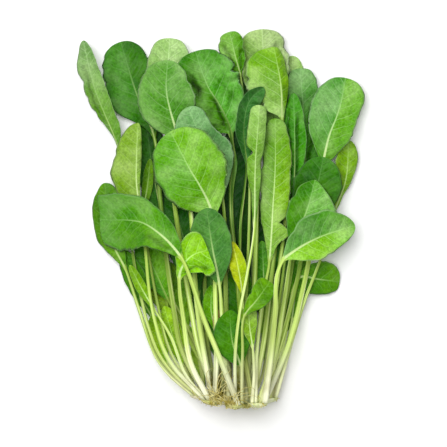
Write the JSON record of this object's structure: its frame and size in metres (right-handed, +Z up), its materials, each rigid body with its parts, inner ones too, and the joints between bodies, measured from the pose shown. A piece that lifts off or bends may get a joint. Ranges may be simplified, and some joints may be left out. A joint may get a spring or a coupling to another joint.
{
  "type": "bunch of arugula",
  "caption": "Bunch of fresh arugula lying flat: oval leaves heaped in a fan, on long pale stalks that gather at a row of root collars.",
  "frame": {"origin": "middle of the base of the bunch's box, on the surface that it lies on", "axes": "+Y from the root collars to the leaf tips, +X to the right as seen from above, +Z up from the surface"},
  "size_m": [0.2032, 0.2678, 0.0389],
  "materials": {
    "leaf_deep_green": "thin fresh leaf seen in the shade of others, soft sheen, pale veins",
    "leaf_mid_green": "thin fresh leaf, soft waxy sheen, pale veins",
    "leaf_bright_green": "young thin leaf, soft waxy sheen, pale veins",
    "leaf_blue_green": "thin leaf with a greyish waxy bloom",
    "leaf_pale_green": "thin leaf with light coming through it, or its pale back",
    "leaf_underside": "pale matt back of a leaf, with raised veins",
    "leaf_olive": "older thin leaf, olive green",
    "leaf_yellow": "leaf turning yellow",
    "leaf_withered": "dry withered leaf, matt",
    "root_collar": "cream to tan root skin, matt, with fine root hairs"
  },
  "bodies": {
    "root": {"leaf_under_middle": "leaf_deep_green", "leaf_under_right": "leaf_deep_green", "leaf_under_left": "leaf_deep_green", "leaf_inner_top": "leaf_deep_green", "leaf_inner_left": "leaf_deep_green", "leaf_inner_upper_left": "leaf_deep_green", "leaf_inner_middle": "leaf_deep_green", "leaf_inner_low_left": "leaf_deep_green", "leaf_inner_low_middle": "leaf_deep_green", "leaf_inner_low_right": "leaf_deep_green", "leaf_low_right_inner": "leaf_deep_green", "leaf_low_right_slip": "leaf_mid_green", "leaf_low_middle_slip": "leaf_mid_green", "leaf_low_middle_inner": "leaf_deep_green", "leaf_left_inner": "leaf_deep_green", "leaf_lower_left": "leaf_mid_green", "leaf_sprout_left": "leaf_bright_green", "leaf_sprout_left_upper": "leaf_bright_green", "leaf_low_right_round": "leaf_deep_green", "leaf_right_edge": "leaf_olive", "leaf_top_right_pale": "leaf_pale_green", "leaf_right_inner_tall": "leaf_deep_green", "leaf_right_inner_narrow": "leaf_deep_green", "leaf_top_curled": "leaf_pale_green", "leaf_top_small": "leaf_bright_green", "leaf_far_left_low": "leaf_deep_green", "leaf_top_left_broad": "leaf_mid_green", "leaf_left_sliver": "leaf_olive", "leaf_far_left_rolled": "leaf_mid_green", "leaf_top_pale": "leaf_pale_green", "leaf_top_middle_broad": "leaf_mid_green", "leaf_top_right_folded": "leaf_pale_green", "leaf_right_curled": "leaf_blue_green", "leaf_upper_left_oval": "leaf_mid_green", "leaf_blue_behind": "leaf_blue_green", "leaf_right_oval": "leaf_mid_green", "leaf_left_small": "leaf_bright_green", "leaf_left_folded": "leaf_underside", "leaf_right_round_dark": "leaf_deep_green", "leaf_sprout_middle": "leaf_bright_green", "leaf_withered": "leaf_withered", "leaf_yellow": "leaf_yellow", "leaf_big_bright": "leaf_bright_green", "leaf_middle_blue": "leaf_blue_green", "leaf_low_bright": "leaf_bright_green", "leaf_right_middle": "leaf_mid_green", "leaf_long_middle": "leaf_underside", "leaf_sprout_pale": "leaf_pale_green", "leaf_long_lobed": "leaf_pale_green", "leaf_small_green": "leaf_bright_green", "leaf_broad_right": "leaf_bright_green", "leaf_small_folded": "leaf_bright_green", "leaf_broad_left": "leaf_mid_green", "crown_left": "root_collar", "crown_left_middle": "root_collar", "crown_right_middle": "root_collar", "crown_right": "root_collar", "crown_upper_left": "root_collar", "crown_upper_middle": "root_collar", "crown_upper_right": "root_collar"}
  },
  "joints": []
}
